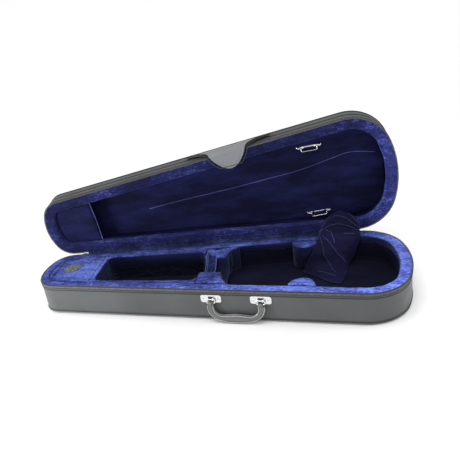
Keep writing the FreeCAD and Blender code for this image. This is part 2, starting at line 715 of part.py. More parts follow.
def all_parts():
    base = half_case(RIM_Z, FLOOR_TOP)
    lid = half_case(LID_HEIGHT, in_lid(44))
    stop_places = (HINGE_FROM - 1.3, HINGE_TO + 1.3)
    stop_room = [on_back(box(s - 1.4, s + 1.4, 0, 3, 0, BIG)) for s in stop_places]
    base_teeth = base["zipper_teeth"].cut(Part.makeCompound(stop_room))
    left, right = plate_centres()
    parts = {
        "base_shell": base["shell"],
        "base_side_cover": base["side_cover"],
        "base_bottom_cover": base["flat_cover"],
        "base_bottom_piping": base["edge_piping"],
        "base_rim_piping": base["rim_piping"],
        "base_zipper_tape": base["zipper_tape"],
        "base_zipper_teeth": base_teeth,
        "zipper_end_stops": zipper_stops(),
        "hinge_strip": hinge_strip(),
        "hinge_lining_strip": hinge_lining_strip(),
        "base_rim_pad": base_rim_pad(),
        "base_wall_lining": base_wall_lining(),
        "base_floor_pad": base_floor_pad(),
        "neck_cradle": neck_cradle(),
        "neck_strap": neck_strap(),
        "front_waist_pad": waist_pad(-1),
        "back_waist_pad": waist_pad(1),
        "front_compartment_pad": compartment_pad(-1),
        "back_compartment_pad": compartment_pad(1),
        "accessory_box": accessory_box(),
        "accessory_lid": accessory_lid(),
        "accessory_lid_hinge_tape": accessory_hinge_tape(),
        "accessory_lid_tab": accessory_tab(),
        "instrument_blanket": instrument_blanket(),
        "left_handle_plate": handle_plate(left),
        "right_handle_plate": handle_plate(right),
        "handle_plate_rivets": plate_rivets(),
        "left_handle_ring": handle_ring(left),
        "right_handle_ring": handle_ring(right),
        "handle_grip": handle_grip(),
        "flap_root": flap_root(),
        "closure_flap": closure_flap(),
        "lid_shell": lid_from_tray(lid["shell"]),
        "lid_side_cover": lid_from_tray(lid["side_cover"]),
        "lid_top_cover": lid_from_tray(lid["flat_cover"]),
        "lid_edge_piping": lid_from_tray(lid["edge_piping"]),
        "lid_rim_piping": lid_from_tray(lid["rim_piping"]),
        "lid_zipper_tape": lid_from_tray(lid["zipper_tape"]),
        "lid_zipper_teeth": lid_from_tray(lid["zipper_teeth"]),
        "lid_rim_pad": lid_from_tray(plush_rim(LID_HEIGHT, RIM_PAD_DEPTH, RIM_PAD_IN)),
        "lid_wall_lining": lid_from_tray(lid_wall_lining()),
        "lid_lining_panel": lid_from_tray(lid_lining_panel()),
        "bow_tip_pocket": lid_from_tray(bow_tip_pocket()),
        "upper_bow_clip_plate": lid_from_tray(clip_plate(CLIP_UPPER_Y)),
        "lower_bow_clip_plate": lid_from_tray(clip_plate(CLIP_LOWER_Y)),
        "upper_bow_clip_bail": lid_from_tray(clip_bail(CLIP_UPPER_Y)),
        "lower_bow_clip_bail": lid_from_tray(clip_bail(CLIP_LOWER_Y)),
        "bow_clip_screws": lid_from_tray(clip_screws()),
        "left_zipper_slider": zipper_slider(SLIDER_LEFT_S),
        "right_zipper_slider": zipper_slider(SLIDER_RIGHT_S),
        "left_pull_tab": pull_tab(SLIDER_LEFT_S),
        "right_pull_tab": pull_tab(SLIDER_RIGHT_S),
    }
    return parts


def main():
    os.makedirs("parts", exist_ok=True)
    for name, shape in all_parts().items():
        size = shape.BoundBox
        corners = (size.XMin, size.YMin, size.ZMin, size.XMax, size.YMax, size.ZMax)
        print(name, "solids", len(shape.Solids), "valid", shape.isValid(), "volume", round(shape.Volume))
        print("    box", [round(v, 1) for v in corners])
        shape.exportStep(os.path.join("parts", name + ".step"))


main()
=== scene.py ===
"""Looks of an open, plush-lined violin case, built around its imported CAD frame.

Sizes are in millimetres, in the row frame, and become metres where a mesh is made.
A lid piece is drawn as a tray with its floor at height 0, then turned over and opened.
"""
import json
import math

import bmesh
import bpy
import numpy as np
from mathutils import Matrix, Vector, noise

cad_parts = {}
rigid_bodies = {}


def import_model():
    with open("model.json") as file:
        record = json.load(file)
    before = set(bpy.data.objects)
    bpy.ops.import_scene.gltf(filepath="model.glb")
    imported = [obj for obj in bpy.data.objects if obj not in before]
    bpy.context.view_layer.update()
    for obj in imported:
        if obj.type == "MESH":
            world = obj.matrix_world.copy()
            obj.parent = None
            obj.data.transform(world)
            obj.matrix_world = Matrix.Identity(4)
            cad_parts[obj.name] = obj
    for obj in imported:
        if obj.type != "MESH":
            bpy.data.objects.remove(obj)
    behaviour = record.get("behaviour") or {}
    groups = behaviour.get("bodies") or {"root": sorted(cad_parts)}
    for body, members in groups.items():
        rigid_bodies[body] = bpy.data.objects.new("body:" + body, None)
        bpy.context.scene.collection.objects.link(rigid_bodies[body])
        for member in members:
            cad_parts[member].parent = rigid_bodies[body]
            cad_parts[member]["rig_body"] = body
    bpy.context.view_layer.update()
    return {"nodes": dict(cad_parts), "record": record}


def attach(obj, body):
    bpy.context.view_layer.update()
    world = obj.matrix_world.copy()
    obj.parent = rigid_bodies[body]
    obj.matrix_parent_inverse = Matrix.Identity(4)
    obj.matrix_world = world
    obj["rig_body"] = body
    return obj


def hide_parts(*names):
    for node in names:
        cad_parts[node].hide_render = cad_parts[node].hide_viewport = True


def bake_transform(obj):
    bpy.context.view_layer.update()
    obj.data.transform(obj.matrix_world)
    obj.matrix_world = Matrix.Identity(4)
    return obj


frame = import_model()
NODES = frame["nodes"]

MM = 0.001
Z = Vector((0, 0, 1))

# Outline, heights and places, as in the CAD source
HALF_LENGTH = 395.0
HALF_WIDTH_MID = 100.8
TAPER = math.radians(5.43)
WIDE_END_R = 221.0
WIDE_CORNER_R = 86.0
NARROW_END_R = 109.0
NARROW_CORNER_R = 43.0
RIM_Z = 70.5
LID_HEIGHT = 51.0
CROWN_GAP = 0.35              # the plush stops this far from the plane where the halves meet
FLOOR_PAD_TOP = 13.0
LINING_DEPTH = 39.0
HINGE_OUT = 2.1
HINGE_FROM = -322.0
HINGE_TO = 262.0
LID_OPEN = math.radians(86)
PLUSH_IN = 24.0
NARROW_PLUSH_IN = 17.0
RIM_DEPTH = 20.0              # from the top of a rim's plush to the velvet wall below it
BOX_RIGHT_X = -262.0
HANDLE_S = 51.5
PLATE_PITCH = 100.6
PIVOT_Z = 49.5
PIVOT_OUT = 4.6
HANDLE_REST = math.radians(6)
FLAP_S = 53.0
FLAP_OUT = 6.9
FLAP_IN = 3.4
FLAP_AXIS_Z = 66.2

SIDE = Vector((math.cos(TAPER), math.sin(TAPER), 0))
SIDE_OUT = Vector((-math.sin(TAPER), math.cos(TAPER), 0))
FRONT = Vector((math.cos(TAPER), -math.sin(TAPER), 0))
FRONT_IN = Vector((math.sin(TAPER), math.cos(TAPER), 0))
HINGE = Vector((0, HALF_WIDTH_MID, RIM_Z)) + SIDE_OUT * HINGE_OUT
OPEN = Matrix.Translation(HINGE) @ Matrix.Rotation(LID_OPEN, 4, -SIDE) @ Matrix.Translation(-HINGE)


# ---------------- places

def on_front(s, y, z):
    """s along the front side, y inwards from it."""
    return FRONT * s + FRONT_IN * y + Vector((0, -HALF_WIDTH_MID, z))


def on_back(s, y, z):
    """s along the hinge side, y outwards from it."""
    return SIDE * s + SIDE_OUT * y + Vector((0, HALF_WIDTH_MID, z))


def in_base(p):
    return p


def opened(p):
    return OPEN @ p


def in_lid(p):
    """From the lid's tray, floor down, to the open lid."""
    return OPEN @ Vector((p.x, p.y, RIM_Z + LID_HEIGHT - p.z))


# ---------------- outline

def corner(sign, end_radius, radius):
    """Centre of a back corner arc, the direction where it meets the end arc, and that arc's centre."""
    end_centre = Vector((sign * (HALF_LENGTH - end_radius), 0, 0))
    start = Vector((0, HALF_WIDTH_MID, 0)) - SIDE_OUT * radius
    reach = start - end_centre
    along = reach.dot(SIDE)
    span = (end_radius - radius) ** 2
    centre = start + SIDE * (-along + sign * math.sqrt(along * along - reach.dot(reach) + span))
    return centre, (centre - end_centre).normalized(), end_centre


def arc_points(centre, radius, start, end, step):
    count = max(2, round(abs(end - start) * radius / step))
    found = []
    for i in range(count):
        a = start + (end - start) * i / count
        n = Vector((math.cos(a), math.sin(a), 0))
        found.append((centre + n * radius, n))
    return found


def outline(step):
    """(point, outward normal) round the case, from the narrow tip along the hinge side."""
    wide, wide_dir, wide_end = corner(1, WIDE_END_R, WIDE_CORNER_R)
    narrow, narrow_dir, narrow_end = corner(-1, NARROW_END_R, NARROW_CORNER_R)
    side = math.pi / 2 + TAPER
    narrow_turn = math.atan2(narrow_dir.y, narrow_dir.x)
    wide_turn = math.atan2(wide_dir.y, wide_dir.x)
    back = arc_points(narrow_end, NARROW_END_R, math.pi, narrow_turn, step)
    back += arc_points(narrow, NARROW_CORNER_R, narrow_turn, side, step)
    start = narrow + SIDE_OUT * NARROW_CORNER_R
    end = wide + SIDE_OUT * WIDE_CORNER_R
    count = round((end - start).length / step)
    back += [(start.lerp(end, i / count), SIDE_OUT.copy()) for i in range(count)]
    back += arc_points(wide, WIDE_CORNER_R, side, wide_turn, step)
    back += arc_points(wide_end, WIDE_END_R, wide_turn, 0, step)
    tip = (Vector((HALF_LENGTH, 0, 0)), Vector((1, 0, 0)))
    flip = Vector((1, -1, 1))
    front = [(p * flip, n * flip) for p, n in reversed(back[1:])]
    return back + [tip] + front


def half_width(x, inset):
    """Half width of the case at x, moved in by inset."""
    ring = [p - n * inset for p, n in RIM if p.y >= 0]
    return float(np.interp(x, [p.x for p in ring], [p.y for p in ring]))


RIM = outline(4.0)


# ---------------- mesh helpers

def placed(name, data):
    """New object that holds data, linked to the scene."""
    obj = bpy.data.objects.new(name, data)
    bpy.context.scene.collection.objects.link(obj)
    return obj


def make_piece(name, points, faces, look, body, slot=None, smooth=True):
    """Piece from points in millimetres, moving with body. slot is not used."""
    mesh = bpy.data.meshes.new(name)
    mesh.from_pydata([p * MM for p in points], [], faces)
    bm = bmesh.new()
    bm.from_mesh(mesh)
    bmesh.ops.recalc_face_normals(bm, faces=bm.faces)
    bm.to_mesh(mesh)
    bm.free()
    mesh.polygons.foreach_set("use_smooth", [smooth] * len(mesh.polygons))
    mesh.materials.append(M[look])
    obj = placed(name, mesh)
    if body:
        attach(obj, body)
    return obj


def stand_in(obj, slot, *nodes, fill=None):
    """Hide the CAD nodes that a piece replaces. slot and fill are not used."""
    if nodes:
        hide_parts(*nodes)


def loft(rings, round_trip=False):
    """Points and faces of a skin over closed rings of equal count, capped unless it goes round."""
    count = len(rings[0])
    points = [p for ring in rings for p in ring]
    faces = []
    last = len(rings) if round_trip else len(rings) - 1
    for i in range(last):
        a = i * count
        b = (i + 1) % len(rings) * count
        for j in range(count):
            k = (j + 1) % count
            faces.append((a + j, a + k, b + k, b + j))
    if not round_trip:
        faces.append(tuple(range(count)))
        faces.append(tuple(range(len(points) - count, len(points))))
    return points, faces


def rounded(points, rounds=2):
    """Corner-cut closed polygon."""
    if rounds == 0:
        return points
    cut = []
    for a, b in zip(points, points[1:] + points[:1]):
        for share in (0.75, 0.25):
            cut.append(tuple(u * share + v * (1 - share) for u, v in zip(a, b)))
    return rounded(cut, rounds - 1)


def through(points, per_span=6):
    """Smooth open curve through the points."""
    ends = [points[0] * 2 - points[1]] + points + [points[-1] * 2 - points[-2]]
    found = []
    for a, b, c, d in zip(ends, ends[1:], ends[2:], ends[3:]):
        for i in range(per_span):
            t = i / per_span
            found.append(0.5 * (2 * b + (c - a) * t + (2 * a - 5 * b + 4 * c - d) * t * t
                                + (3 * b - a - 3 * c + d) * t ** 3))
    return found + [points[-1]]


def circle(centre, u, w, radius, sides):
    turns = [2 * math.pi * k / sides for k in range(sides)]
    return [centre + (u * math.cos(t) + w * math.sin(t)) * radius for t in turns]


def tube(path, radius, round_trip=False, sides=8):
    """Points and faces of a round cord along a path."""
    count = len(path)
    rings = []
    normal = None
    for i, p in enumerate(path):
        before = path[i - 1] if i or round_trip else p
        after = path[(i + 1) % count] if i < count - 1 or round_trip else p
        ahead = (after - before).normalized()
        if normal is None:
            normal = ahead.orthogonal().normalized()
        normal = (normal - ahead * normal.dot(ahead)).normalized()
        rings.append(circle(p, normal, ahead.cross(normal), radius, sides))
    return loft(rings, round_trip)


def gather(parts):
    """One list of points and faces from several."""
    points, faces = [], []
    for some, its_faces in parts:
        start = len(points)
        points += some
        faces += [tuple(i + start for i in f) for f in its_faces]
    return points, faces


def block(centre, along, across, up, size):
    """Small box with cut corners along its length."""
    a, b, c = (v * s / 2 for v, s in zip((along, across, up), size))
    rings = []
    for t in (-1, 1):
        rings.append([centre + a * t + b * u + c * w for u, w in ((-1, -1), (1, -1), (1, 1), (-1, 1))])
    return loft(rings)


def crush(p, scale, amount):
    return noise.noise(p / scale) * amount


def applied(obj):
    """Bake the modifiers into the mesh."""
    graph = bpy.context.evaluated_depsgraph_get()
    graph.update()
    mesh = bpy.data.meshes.new_from_object(obj.evaluated_get(graph))
    obj.modifiers.clear()
    obj.data = mesh
    mesh.polygons.foreach_set("use_smooth", [True] * len(mesh.polygons))
    return obj


# ---------------- materials

class Look:
    """A new Principled material and the nodes that feed it. constants are the same all over."""

    def __init__(self, name, colour, rough, **constants):
        self.material = bpy.data.materials.new(name)
        self.material.use_nodes = True
        self.tree = self.material.node_tree
        self.shader = self.tree.nodes["Principled BSDF"]
        self.set("Base Color", colour)
        self.set("Roughness", rough)
        for key, value in constants.items():
            self.set(key.replace("_", " "), value)

    def set(self, key, value):
        self.feed(self.shader.inputs[key], value)

    def feed(self, socket, value):
        """Link the socket to another one, or give it a constant."""
        if isinstance(value, bpy.types.NodeSocket):
            self.tree.links.new(value, socket)
        else:
            socket.default_value = (*value, 1) if socket.type == "RGBA" else value

    def node(self, kind, inputs, **settings):
        made = self.tree.nodes.new("ShaderNode" + kind)
        for key, value in settings.items():
            setattr(made, key, value)
        for key, value in inputs.items():
            self.feed(made.inputs[key], value)
        return made.outputs

    def place(self):
        return self.node("TexCoord", {})["Object"]

    def noise(self, scale, detail=4.0, rough=0.55, stretch=None):
        place = self.place()
        if stretch:
            place = self.node("Mapping", {"Vector": place, "Scale": stretch})["Vector"]
        inputs = {"Vector": place, "Scale": scale, "Detail": detail, "Roughness": rough}
        return self.node("TexNoise", inputs)["Fac"]

    def cells(self, scale):
        inputs = {"Vector": self.place(), "Scale": scale}
        return self.node("TexVoronoi", inputs, feature="DISTANCE_TO_EDGE")["Distance"]

    def ramp(self, source, stops):
        """Colour by the source's value, from (value, colour) stops, as the base colour or for more mixing."""
        made = self.tree.nodes.new("ShaderNodeValToRGB")
        elements = made.color_ramp.elements
        while len(elements) < len(stops):
            elements.new(0.5)
        for element, (value, colour) in zip(elements, stops):
            element.position = value
            element.color = (*colour, 1)
        self.tree.links.new(source, made.inputs["Fac"])
        return made.outputs["Color"]

    def spread(self, source, low, high, start=0.0, end=1.0, **settings):
        """Change the range start to end into low to high."""
        inputs = {"Value": source, "From Min": start, "From Max": end, "To Min": low, "To Max": high}
        return self.node("MapRange", inputs, **settings)["Result"]

    def along_axis(self, axis, start, end, low=0.0, high=1.0):
        """Smooth change from low to high along a direction of the object's own space, in metres."""
        reach = self.node("VectorMath", {0: self.place(), 1: axis}, operation="DOT_PRODUCT")["Value"]
        return self.spread(reach, low, high, start, end, interpolation_type="SMOOTHSTEP")

    def mix(self, factor, a, b, kind="MIX"):
        inputs = {"Factor": factor, "A": a, "B": b}
        return self.node("Mix", inputs, data_type="RGBA", blend_type=kind)["Result"]

    def math(self, operation, *terms):
        return self.node("Math", dict(enumerate(terms)), operation=operation)[0]

    def bump(self, *layers):
        """layers are (height socket, depth in mm, strength)."""
        normal = None
        for height, depth, strength in layers:
            inputs = {"Distance": depth * MM, "Strength": strength, "Height": height}
            if normal:
                inputs["Normal"] = normal
            normal = self.node("Bump", inputs)["Normal"]
        self.set("Normal", normal)


def shade(colour, factor):
    return tuple(min(1, c * factor) for c in colour)


def leatherette(name, colour, grain=620, gloss=0.42, vary=0.25):
    """Embossed vinyl: small cells, soft sheen and slight shade changes."""
    look = Look(name, colour, gloss, Specular_IOR_Level=0.45)
    tones = [(0.3, shade(colour, 1 - vary)), (0.7, shade(colour, 1 + vary))]
    look.set("Base Color", look.ramp(look.noise(9), tones))
    smear = look.noise(45)
    look.set("Roughness", look.spread(smear, gloss - 0.08, gloss + 0.12, 0.3, 0.7))
    look.bump((smear, 0.35, 0.25), (look.cells(grain), 0.25, 0.45), (look.noise(grain * 1.4), 0.1, 0.35))
    return look.material


def plush(name, tones, plane, shade_depths, painted_light=(), stops=(0.43, 0.5, 0.575), sheen=0.35):
    """Crushed pile whose patches lean different ways, painted dark and bright as sheen, with painted shade in
    a hollow.

    tones are its deep, middle and bright colours, and stops where they come. plane is the open face's normal
    and its offset. The depths below that face give where painted shade starts and stops dimming it, and where
    it is darkest. The bands (axis, start, end, low, high) paint light and shade by place on the piece."""
    look = Look(name, tones[1], 0.8, Specular_IOR_Level=0.1, Sheen_Weight=sheen, Sheen_Roughness=0.35,
                Sheen_Tint=(0.4, 0.5, 1.0))
    broad = look.noise(9, 3, 0.5)
    patches = look.noise(60, 6, 0.68, (0.6, 1.5, 1.5))
    streaks = look.noise(260, 5, 0.7, (0.6, 1.4, 1.4))
    blotches = look.math("MULTIPLY_ADD", broad, 0.3, look.spread(patches, 0.0, 0.3))
    tone = look.math("MULTIPLY_ADD", streaks, 0.4, blotches)
    # painted sheen: the crushed patches go dark and bright in the colour itself
    colour = look.ramp(tone, list(zip(stops, tones)))
    # painted light and shade by place on the piece
    light_level = None
    for change in painted_light:
        found = look.along_axis(*change)
        light_level = look.math("MULTIPLY", light_level, found) if light_level else found
    if light_level:
        colour = look.mix(1.0, colour, light_level, "MULTIPLY")
    # painted shade: the colour dims with depth below the open face, darkest down in a hollow
    normal, offset = plane
    for start, end, shade_colour in zip(shade_depths, shade_depths[1:], (PAINTED_SHADE_DIM, PAINTED_SHADE_DEEP)):
        depth = look.along_axis(normal, offset + start * MM, offset + end * MM)
        colour = look.mix(depth, colour, shade_colour)
    look.set("Base Color", colour)
    look.bump((patches, 5.0, 0.6), (streaks, 1.6, 0.55), (look.noise(1500, 2), 0.3, 0.5))
    return look.material


def velvet(name, deep, bright, sheen=0.2):
    """Short dark pile with faint brushed streaks."""
    look = Look(name, deep, 0.8, Specular_IOR_Level=0.1, Sheen_Weight=sheen, Sheen_Roughness=0.3,
                Sheen_Tint=(0.25, 0.28, 0.9))
    brushed = look.noise(16, 6, 0.65, (0.5, 1.6, 1.6))
    look.set("Base Color", look.ramp(brushed, [(0.42, deep), (0.68, bright)]))
    look.bump((brushed, 2.0, 0.3), (look.noise(1600, 2), 0.25, 0.4))
    return look.material


def chrome(name, rough=0.14):
    """Rubbed plating with hair scratches."""
    look = Look(name, (0.78, 0.78, 0.8), rough, Metallic=1.0)
    look.set("Roughness", look.spread(look.noise(160, 5), rough - 0.05, rough + 0.14, 0.35, 0.7))
    look.bump((look.noise(700, 2, 0.5, (1, 0.1, 1)), 0.05, 0.15))
    return look.material


def woven(name, colour, pitch=900, light=None):
    """Tape or webbing: crossed threads."""
    look = Look(name, colour, 0.85, Sheen_Weight=0.2)
    threads = look.noise(pitch, 2, 0.5, (1, 1, 0.25))
    across = look.noise(pitch, 2, 0.5, (0.25, 0.25, 1))
    tones = [(0.4, shade(colour, 0.6)), (0.66, light or shade(colour, 1.4))]
    look.set("Base Color", look.ramp(threads, tones))
    look.bump((threads, 0.3, 0.6), (across, 0.3, 0.5))
    return look.material


def plain(name, colour, rough):
    """Moulded or painted surface with a little unevenness."""
    look = Look(name, colour, rough)
    uneven = look.noise(300)
    look.set("Base Color", look.ramp(uneven, [(0.35, shade(colour, 0.85)), (0.65, colour)]))
    look.bump((uneven, 0.1, 0.3))
    return look.material


BASE_DEPTH = ((0, 0, -1), -RIM_Z * MM)
LID_NORMAL = OPEN.to_3x3() @ Z
LID_DEPTH = (tuple(LID_NORMAL), LID_NORMAL.dot(HINGE) * MM)
# painted shade: colours that plush dims to down in a hollow
PAINTED_SHADE_DIM = (0.008, 0.0105, 0.046)
PAINTED_SHADE_DEEP = (0.0062, 0.0075, 0.021)
PILE = ((0.016, 0.022, 0.12), (0.048, 0.068, 0.30), (0.15, 0.21, 0.68))
# painted shade: the base plush's colours at a fifth, for plush that lies in shade
PAINTED_SHADE_PILE = tuple(shade(colour, 0.2) for colour in PILE)
# painted light and shade on the base plush, by place in the case
BASE_PAINTED_LIGHT = (
    ((1, 0, 0), 0.2, 0.37, 1.0, 1.35),    # painted light: brighter round the wide end
    ((-1, 0, 0), 0.15, 0.28, 1.0, 1.2),    # painted light: and at the narrow end
    (tuple(SIDE_OUT), 0.077, 0.091, 0.9, 0.42),    # painted shade beside the hinge
    (tuple(-SIDE_OUT), 0.05, 0.09, 1.0, 1.5),    # painted light: brighter along the front
)
# painted shade: the lid plush is the base plush in darker colours, for the upright lid
LID_PILE_PAINTED_SHADE = ((0.009, 0.0095, 0.05), (0.019, 0.024, 0.11), (0.09, 0.105, 0.42))
LID_PAINTED_LIGHT = (
    ((1, 0, 0), 0.27, 0.38, 1.0, 2.6),    # painted light: brighter round the wide end
    (tuple(LID_NORMAL), LID_DEPTH[1] + 0.001, LID_DEPTH[1] + 0.005, 0.8, 1.6),    # painted light: and on the inner ledge
)

LOOKS = {
    "outer_leatherette": (leatherette, (0.076, 0.081, 0.082), 620, 0.42, 0.14),
    "edge_piping": (leatherette, (0.17, 0.175, 0.175), 900, 0.38),
    "rim_piping": (leatherette, (0.045, 0.043, 0.043), 900, 0.42),
    "seam": (leatherette, (0.022, 0.022, 0.022), 900, 0.5),
    "zipper_tape": (woven, (0.105, 0.105, 0.12)),
    "zipper_teeth": (plain, (0.012, 0.012, 0.02), 0.4),
    "zipper_metal": (plain, (0.03, 0.03, 0.031), 0.6),
    "blue_plush": (plush, PILE, BASE_DEPTH, (0.9, 4.2, 42), BASE_PAINTED_LIGHT),
    # painted shade and light on the lid plush: darker colours, dimming with depth, brighter bands by place
    "lid_plush": (plush, LID_PILE_PAINTED_SHADE, LID_DEPTH, (12, 20, 30), LID_PAINTED_LIGHT, (0.43, 0.53, 0.62), 0.12),
    # painted shade: the hinge and strap plush are darkened copies of the base plush
    "hinge_plush": (plush, PAINTED_SHADE_PILE, BASE_DEPTH, (9, 12, 14)),
    "strap_plush": (plush, PAINTED_SHADE_PILE, BASE_DEPTH, (20, 30, 40), (), (0.43, 0.5, 0.6), 0.15),
    "navy_velvet": (velvet, (0.004, 0.0048, 0.013), (0.0085, 0.0095, 0.03)),
    "lid_velvet": (velvet, (0.0042, 0.005, 0.024), (0.0115, 0.0135, 0.072), 0.15),
    "blanket_velvet": (velvet, (0.0055, 0.0055, 0.024), (0.0125, 0.012, 0.052), 0.5),
    # painted highlight: lighter copies of the velvet, for hems, edges and creases where they catch the light
    "blanket_hem": (velvet, (0.02, 0.022, 0.08), (0.04, 0.045, 0.15), 0.4),
    "strap_edge": (velvet, (0.11, 0.12, 0.33), (0.26, 0.28, 0.62), 0.4),
    "velvet_edge": (velvet, (0.05, 0.055, 0.18), (0.12, 0.13, 0.40), 0.4),
    "tab_weave": (woven, (0.03, 0.036, 0.04), 420, (0.22, 0.25, 0.25)),
    "flap_leatherette": (leatherette, (0.215, 0.225, 0.24), 700, 0.4, 0.1),
    "handle_leatherette": (leatherette, (0.14, 0.142, 0.144), 700, 0.34, 0.15),
    "handle_piping": (leatherette, (0.38, 0.38, 0.38), 900, 0.34),
    "chrome": (chrome,),
    "clip_chrome": (chrome, 0.3),
    "shell_board": (plain, (0.3, 0.2, 0.12), 0.7),
    "thread": (woven, (0.045, 0.047, 0.05), 2500),
}
M = {name: kind(name, *values) for name, (kind, *values) in LOOKS.items()}


def finish_nodes():
    """Give every CAD node the procedural material of its slot."""
    for part in frame["record"]["subparts"]:
        node = NODES[part["node"]]
        node.data.materials.clear()
        look = part["material_slot"]
        # painted light: the lid's lining is the same navy velvet, given a lighter copy
        if look == "navy_velvet" and node["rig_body"] == "lid":
            look = "lid_velvet"
        node.data.materials.append(M[look])


# ---------------- plush rims and linings

def ring_piece(name, section, place, look, body, top, crushed, slim_at_box):
    """Sweep (inset, height) pairs round the outline, with a crushed surface that keeps below top."""
    inset_mid = sum(i for i, _ in section) / len(section)
    height_mid = sum(h for _, h in section) / len(section)
    rings = []
    for p, n in RIM:
        slim = 0.0
        if slim_at_box:
            slim = min(1.0, max(0.0, (BOX_RIGHT_X + 12 - p.x) / 24)) * (PLUSH_IN - NARROW_PLUSH_IN)
        ring = []
        for inset, height in section:
            share = max(0.0, (inset - 7) / (PLUSH_IN - 7))
            flat = Vector((inset - inset_mid, height - height_mid)).normalized()
            spot = p - n * inset + Z * height
            push = crush(spot, 34, 1.1 * crushed) + crush(spot, 11, 0.6 * crushed)
            push = min(push, 0.5) * min(1.0, share * 1.5)
            inset_now = inset + flat.x * push - slim * min(1.0, share)
            height_now = min(height + flat.y * push, top)
            ring.append(place(p - n * inset_now + Z * height_now))
        rings.append(ring)
    return make_piece(name, *loft(rings, True), look, body)


def plush_section(top):
    """Crowned pad: thin over the shell's edge, full over the hollow."""
    low = top - RIM_DEPTH
    return rounded([
        (1.5, top - 1.9), (1.8, top - 0.7), (4.0, top - 0.1), (9.0, top + 0.25), (14.5, top + 0.1),
        (19.8, top - 0.5), (23.0, top - 2.0), (24.2, top - 4.8), (24.4, top - 11), (23.6, low + 3),
        (20.5, low + 0.4), (12, low), (7, low + 1), (6.6, top - 6), (6.4, top - 2.1),
    ])


def padding(body, place, top, wall, rim_look, wall_look, slim_at_box):
    """Plush round the rim of one half, and the velvet wall below it."""
    rim = ring_piece(body + "_rim_plush", plush_section(top), place, rim_look, body, top, 1.0, slim_at_box)
    stand_in(rim, "blue_plush", body + "_rim_pad", fill=0.8)
    wall = ring_piece(body + "_wall_velvet", rounded(wall, 1), place, wall_look, body, top - RIM_DEPTH, 0.5,
                      slim_at_box)
    stand_in(wall, "navy_velvet", body + "_wall_lining", fill=0.7)


def base_padding():
    top = RIM_Z - CROWN_GAP
    low, high = FLOOR_PAD_TOP + 0.1, top - RIM_DEPTH
    wall = [(26, low), (22.5, low + 1), (21.2, low + 4), (21, high - 4), (20.6, high), (14, high),
            (13.5, low)]
    padding("base", in_base, top, wall, "blue_plush", "navy_velvet", True)


def lid_padding():
    top = LID_HEIGHT - CROWN_GAP
    low, high = LID_HEIGHT - LINING_DEPTH, top - RIM_DEPTH
    wall = [(18, low), (15, low + 1.5), (14.2, low + 5), (14, high), (9, high), (8.5, low)]
    padding("lid", in_lid, top, wall, "lid_plush", "lid_velvet", False)


def panel(name, x0, x1, inset, low, high, place, look, body, relief=None, rows=36):
    """Padded panel across the case, closed below, with relief(x, y) added to its top."""
    count = max(3, round((x1 - x0) / 6.0))
    rings = []
    for i in range(count + 1):
        x = x0 + (x1 - x0) * i / count
        half = max(1.0, half_width(x, inset))
        upper, lower = [], []
        for j in range(rows + 1):
            y = half * (2 * j / rows - 1)
            near_edge = min(half - abs(y), x - x0, x1 - x)
            drop = 1.2 * max(0.0, 1 - near_edge / 5) ** 2
            rise = relief(x, y) if relief else crush(Vector((x, y, 0)), 30, 0.35)
            upper.append(place(Vector((x, y, high - drop + rise))))
            lower.append(place(Vector((x, y, low))))
        rings.append(upper + lower[::-1])
    return make_piece(name, *loft(rings), look, body)


def lid_lining():
    low = LID_HEIGHT - 44
    high = LID_HEIGHT - LINING_DEPTH

    def relief(x, y):
        spot = Vector((x, y, 0))
        fold = noise.noise(Vector((x / 160, y / 9, 3))) * 0.5
        return -0.3 + crush(spot, 45, 0.7) + fold

    cover = panel("lid_lining_velvet", -376, 376, 14.2, low, high, in_lid, "lid_velvet", "lid", relief)
    stand_in(cover, "navy_velvet", "lid_lining_panel", fill=0.5)
    # painted highlight: a thin light cord along the lining's crease
    stops = [(-158, 6), (-84, 0), (34, -7), (120, -14), (195, -21), (262, -34), (306, -41), (358, -31)]
    path = through([in_lid(Vector((x, y, high - 0.1))) for x, y in stops], 10)
    make_piece("lid_lining_crease_highlight", *tube(path, 0.8), "velvet_edge", "lid", "navy_velvet")


def pocket():
    """Flat velvet pocket for the tips of the bows, with a welt along its mouth."""
    low = LID_HEIGHT - 10
    cover = panel("bow_tip_pocket_velvet", -370.4, -279, PLUSH_IN + 0.3, low, low + 1.9, in_lid,
                  "lid_velvet", "lid", rows=24)
    stand_in(cover, "navy_velvet", "bow_tip_pocket")
    half = half_width(-278, PLUSH_IN) - 0.5
    mouth = [(-278.5, -half, low + 1.4), (-277.4, 0, low + 1.6), (-279, half, low + 1.4)]
    path = [in_lid(p) for p in through([Vector(spot) for spot in mouth], 12)]
    # painted highlight: the welt is in the lighter velvet
    make_piece("bow_tip_pocket_welt", *tube(path, 1.0), "velvet_edge", "lid", "navy_velvet")


def floor_lining():
    floor = panel("base_floor_velvet", -386, 386, 7, 7.6, FLOOR_PAD_TOP - 0.3, in_base,
                  "navy_velvet", "base")
    stand_in(floor, "navy_velvet", "base_floor_pad", fill=0.5)


# ---------------- soft blocks from the CAD solids

def soft_copy(name, node, voxel, smooth):
    """Rounded copy of a CAD pad."""
    mesh = NODES[node].data.copy()
    mesh.name = name
    mesh.materials.clear()
    mesh.materials.append(M["blue_plush"])
    obj = placed(name, mesh)
    remesh = obj.modifiers.new("remesh", "REMESH")
    remesh.mode = "VOXEL"
    remesh.voxel_size = voxel * MM
    relax = obj.modifiers.new("relax", "SMOOTH")
    relax.iterations = smooth
    relax.factor = 0.5
    return applied(obj)


